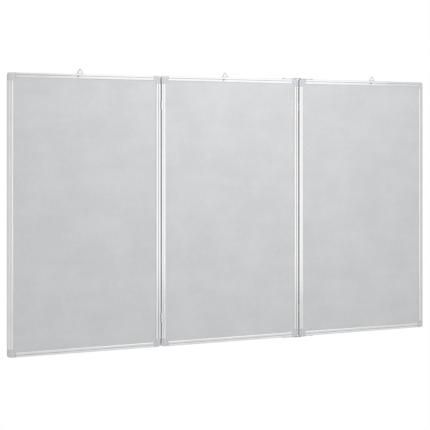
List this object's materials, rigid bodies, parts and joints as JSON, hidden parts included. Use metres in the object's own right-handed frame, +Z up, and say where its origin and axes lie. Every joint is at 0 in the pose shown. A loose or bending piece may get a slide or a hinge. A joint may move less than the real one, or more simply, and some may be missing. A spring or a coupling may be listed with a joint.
{
  "type": "folding whiteboard",
  "caption": "Wall-hung whiteboard of framed panels side by side, hinged so the outer panels fold over the middle one, with small hanger plates.",
  "frame": {"origin": "on the wall side of the middle panel's top rail, halfway along its foot, where it rests on the wall", "axes": "+X to the board's right as it is read, +Y into the wall, +Z up"},
  "size_m": [1.8, 0.0208, 1.024],
  "materials": {
    "frame_aluminium": "satin anodised",
    "cap_plastic": "fine satin moulded",
    "writing_surface": "smooth lacquer",
    "core_cardboard": "paper honeycomb",
    "back_steel": "galvanised",
    "hinge_steel": "zinc plated",
    "bright_fasteners": "bright zinc plated",
    "pad_plastic": "satin moulded"
  },
  "bodies": {
    "middle_panel": {"middle_left_stile": "frame_aluminium", "middle_right_stile": "frame_aluminium", "middle_top_rail": "frame_aluminium", "middle_bottom_rail": "frame_aluminium", "middle_top_left_cap": "cap_plastic", "middle_top_right_cap": "cap_plastic", "middle_bottom_left_cap": "cap_plastic", "middle_bottom_right_cap": "cap_plastic", "middle_writing_sheet": "writing_surface", "middle_core_board": "core_cardboard", "middle_back_sheet": "back_steel", "middle_hanger_screw": "bright_fasteners", "upper_hinge_right_leaf": "hinge_steel", "lower_hinge_right_leaf": "hinge_steel", "upper_hinge_pin": "bright_fasteners", "lower_hinge_pin": "bright_fasteners", "top_link_leaf_middle": "hinge_steel", "bottom_link_leaf_middle": "hinge_steel", "top_link_rivet_middle": "bright_fasteners", "bottom_link_rivet_middle": "bright_fasteners"},
    "left_panel": {"left_left_stile": "frame_aluminium", "left_right_stile": "frame_aluminium", "left_top_rail": "frame_aluminium", "left_bottom_rail": "frame_aluminium", "left_top_left_cap": "cap_plastic", "left_top_right_cap": "cap_plastic", "left_bottom_left_cap": "cap_plastic", "left_bottom_right_cap": "cap_plastic", "left_writing_sheet": "writing_surface", "left_core_board": "core_cardboard", "left_back_sheet": "back_steel", "left_hanger_screw": "bright_fasteners", "upper_hinge_left_leaf": "hinge_steel", "lower_hinge_left_leaf": "hinge_steel"},
    "links": {"top_link": "hinge_steel", "bottom_link": "hinge_steel"},
    "right_panel": {"right_left_stile": "frame_aluminium", "right_right_stile": "frame_aluminium", "right_top_rail": "frame_aluminium", "right_bottom_rail": "frame_aluminium", "right_top_left_cap": "cap_plastic", "right_top_right_cap": "cap_plastic", "right_bottom_left_cap": "cap_plastic", "right_bottom_right_cap": "cap_plastic", "right_writing_sheet": "writing_surface", "right_core_board": "core_cardboard", "right_back_sheet": "back_steel", "right_hanger_screw": "bright_fasteners", "top_link_leaf_right": "hinge_steel", "bottom_link_leaf_right": "hinge_steel", "top_link_rivet_right": "bright_fasteners", "bottom_link_rivet_right": "bright_fasteners", "upper_gap_pad": "pad_plastic", "lower_gap_pad": "pad_plastic"},
    "left_hanger": {"left_hanger_plate": "hinge_steel"},
    "middle_hanger": {"middle_hanger_plate": "hinge_steel"},
    "right_hanger": {"right_hanger_plate": "hinge_steel"}
  },
  "joints": [
    {"name": "fold_left", "type": "hinge", "parent": "middle_panel", "child": "left_panel", "pos_m": [-0.30083, -0.0182, -0.49625], "axis": [0, 0, 1], "range_deg": [0, 180]},
    {"name": "link_swing", "type": "hinge", "parent": "middle_panel", "child": "links", "pos_m": [0.29113, -0.0085, -0.49625], "axis": [0, 0, 1], "range_deg": [0, 90]},
    {"name": "fold_right", "type": "hinge", "parent": "links", "child": "right_panel", "pos_m": [0.31053, -0.0085, -0.49625], "axis": [0, 0, 1], "range_deg": [0, 90]},
    {"name": "left_hanger_swing", "type": "hinge", "parent": "left_panel", "child": "left_hanger", "pos_m": [-0.63367, -0.0015, -0.00525], "axis": [0, 1, 0], "range_deg": [0, 180]},
    {"name": "middle_hanger_swing", "type": "hinge", "parent": "middle_panel", "child": "middle_hanger", "pos_m": [-0.035, -0.0015, -0.00525], "axis": [0, 1, 0], "range_deg": [0, 180]},
    {"name": "right_hanger_swing", "type": "hinge", "parent": "right_panel", "child": "right_hanger", "pos_m": [0.64267, -0.0015, -0.00525], "axis": [0, 1, 0], "range_deg": [0, 180]}
  ]
}
